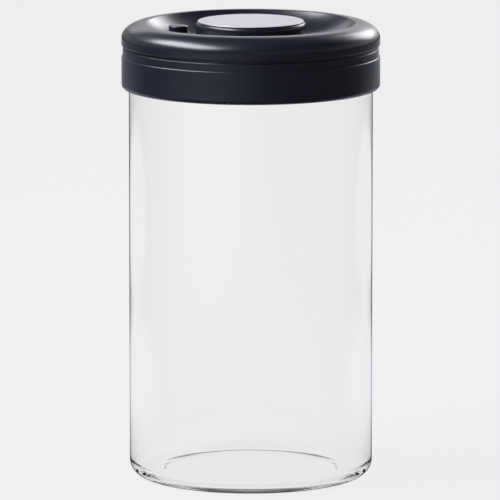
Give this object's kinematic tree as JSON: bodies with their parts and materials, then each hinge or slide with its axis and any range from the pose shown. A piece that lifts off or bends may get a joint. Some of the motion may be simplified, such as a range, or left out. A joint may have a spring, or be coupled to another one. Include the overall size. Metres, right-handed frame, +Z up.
{
  "type": "vacuum seal canister",
  "caption": "Straight round glass canister with a domed lid that holds a press-down vacuum pump button in a dish, and a small release button beside it.",
  "frame": {"origin": "centre of the glass jar's base, on the plane that it stands on", "axes": "+Z up along the jar's axis; the release button lies on the -X side of the pump button"},
  "size_m": [0.106, 0.106, 0.1884],
  "materials": {
    "jar_glass": "clear smooth glass",
    "chassis_plastic": "dark moulded plastic, fine matte",
    "silicone": "translucent grey silicone",
    "lid_plastic": "blue-black moulded plastic, satin gloss",
    "screw_steel": "bright stainless steel",
    "plate_metal": "satin silver, finely brushed",
    "spring_steel": "drawn spring wire"
  },
  "bodies": {
    "jar": {"glass_jar": "jar_glass"},
    "lid": {"lid_chassis": "chassis_plastic", "jar_gasket": "silicone", "lid_collar": "lid_plastic", "collar_screws": "screw_steel", "top_cover": "lid_plastic", "inlet_valve": "silicone", "filter_mesh": "screw_steel", "filter_cap": "chassis_plastic", "pump_spring": "spring_steel", "release_spring": "spring_steel"},
    "pump": {"button_cap": "lid_plastic", "button_plate": "plate_metal", "cap_screws": "screw_steel", "piston": "chassis_plastic", "piston_seal": "silicone", "outlet_valve": "silicone"},
    "release": {"release_button": "lid_plastic", "release_seal": "silicone", "release_clip": "spring_steel"}
  },
  "joints": [
    {"name": "lid_lift", "type": "slide", "parent": "jar", "child": "lid", "axis": [0, 0, 1], "range_m": [0, 0.08]},
    {"name": "pump_press", "type": "slide", "parent": "lid", "child": "pump", "axis": [0, 0, -1], "range_m": [0, 0.007], "stiffness_N_per_m": 1450, "springref_m": -0.004, "deforming": ["pump_spring"]},
    {"name": "release_press", "type": "slide", "parent": "lid", "child": "release", "axis": [0, 0, -1], "range_m": [0, 0.002], "stiffness_N_per_m": 550, "springref_m": -0.003, "deforming": ["release_spring"]}
  ]
}
